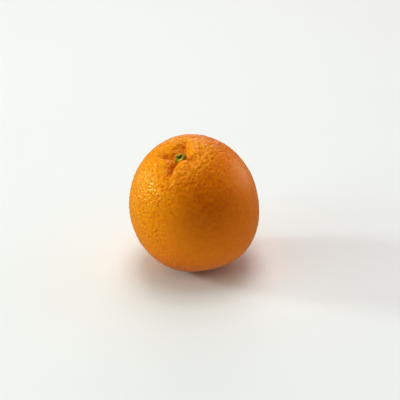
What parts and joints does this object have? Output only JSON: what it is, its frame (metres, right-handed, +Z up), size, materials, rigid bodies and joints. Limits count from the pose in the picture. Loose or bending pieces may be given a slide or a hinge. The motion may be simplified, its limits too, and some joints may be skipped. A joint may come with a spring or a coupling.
{
  "type": "orange",
  "caption": "Whole ripe orange as picked, with a pebbled rind, furrows round its stem end and a small green button, resting on a slightly flattened spot.",
  "frame": {"origin": "centre of the bounding box in plan, at the level of the flat spot the fruit rests on", "axes": "+Z up as it rests; the stem end leans about 25 degrees from +Z, mostly towards -Y and a little towards -X"},
  "size_m": [0.0762, 0.0776, 0.083],
  "materials": {
    "rind": "orange citrus peel: waxy, semi-gloss, pitted all over by oil glands",
    "button": "dry matt stem button, olive green with a tan rim and a dark brown scar"
  },
  "bodies": {
    "root": {"fruit": "rind", "calyx": "button"}
  },
  "joints": []
}
